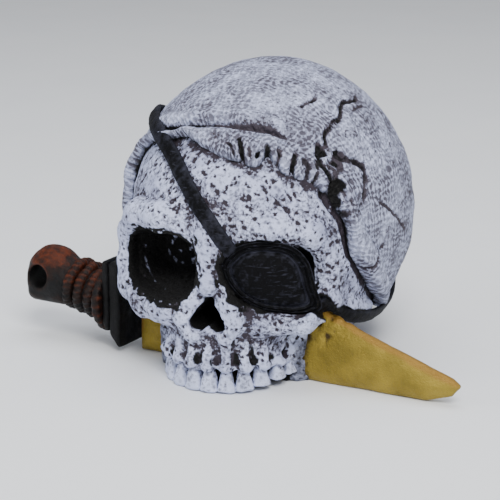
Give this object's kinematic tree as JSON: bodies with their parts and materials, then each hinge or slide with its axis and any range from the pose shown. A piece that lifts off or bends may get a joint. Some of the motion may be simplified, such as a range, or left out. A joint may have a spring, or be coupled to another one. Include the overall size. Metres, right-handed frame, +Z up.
{
  "type": "bubbling ornament",
  "caption": "Hollow skull ornament in a headscarf and eye patch with a dagger through it; an air stone on a pull-out stem inside bubbles in a tank.",
  "frame": {"origin": "on the ground under the middle of the ornament's box", "axes": "+X towards the dagger's point, the face looks along -Y, +Z up"},
  "size_m": [0.1385, 0.102, 0.084],
  "materials": {
    "bone": "cast resin, dry-brushed off-white over a dark wash",
    "teeth": "cast resin, dry-brushed off-white",
    "cloth": "cast resin with a woven texture, dry-brushed off-white",
    "strap": "cast resin, charcoal black with grey dry-brushing",
    "gold": "cast resin, metallic gold paint",
    "guard_black": "cast resin, black paint",
    "grip_brown": "cast resin, dark brown with copper dry-brushing",
    "base_resin": "cast resin, bare dark wash",
    "rubber": "moulded",
    "clear_tube": "moulded rigid tube",
    "stone": "sintered mineral grit"
  },
  "bodies": {
    "ornament": {"skull_shell": "bone", "front_teeth": "teeth", "cheek_teeth": "teeth", "headscarf": "cloth", "scarf_hem": "cloth", "scarf_knot": "cloth", "scarf_tail_left": "cloth", "scarf_tail_right": "cloth", "eye_patch": "strap", "patch_rim": "strap", "upper_strap": "strap", "lower_strap": "strap", "dagger_blade": "gold", "dagger_guard": "guard_black", "guard_collar": "grip_brown", "dagger_grip": "grip_brown", "grip_wrap": "grip_brown", "dagger_pommel": "grip_brown", "base_plate": "base_resin", "inlet_bushing": "base_resin"},
    "air_stem": {"bung": "rubber", "inlet_nipple": "clear_tube", "air_tube": "clear_tube", "stone_cup": "clear_tube", "air_stone": "stone"}
  },
  "joints": [
    {"name": "air_stem_pull", "type": "slide", "parent": "ornament", "child": "air_stem", "axis": [0, 1, 0], "range_m": [0, 0.04]}
  ]
}
